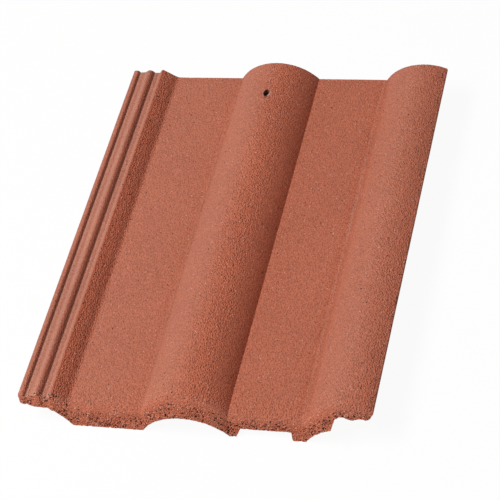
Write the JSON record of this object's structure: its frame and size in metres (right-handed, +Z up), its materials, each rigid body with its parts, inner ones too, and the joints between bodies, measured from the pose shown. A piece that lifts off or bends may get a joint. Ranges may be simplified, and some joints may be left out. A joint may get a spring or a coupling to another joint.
{
  "type": "concrete roof tile",
  "caption": "Interlocking roof tile of coloured concrete with two rounded rolls, flat pans, side-lap channels, underside nibs and a nail hole.",
  "frame": {"origin": "middle of the tile's outline, in the level plane that the nose and the nibs rest on", "axes": "+X across the tile from the underlock to the overlock, +Y from the nose to the head, +Z up out of the weather face"},
  "size_m": [0.3292, 0.42, 0.0426],
  "materials": {
    "coloured_concrete": "matt, sandy, brick red all through"
  },
  "bodies": {
    "root": {"roof_tile": "coloured_concrete"}
  },
  "joints": []
}
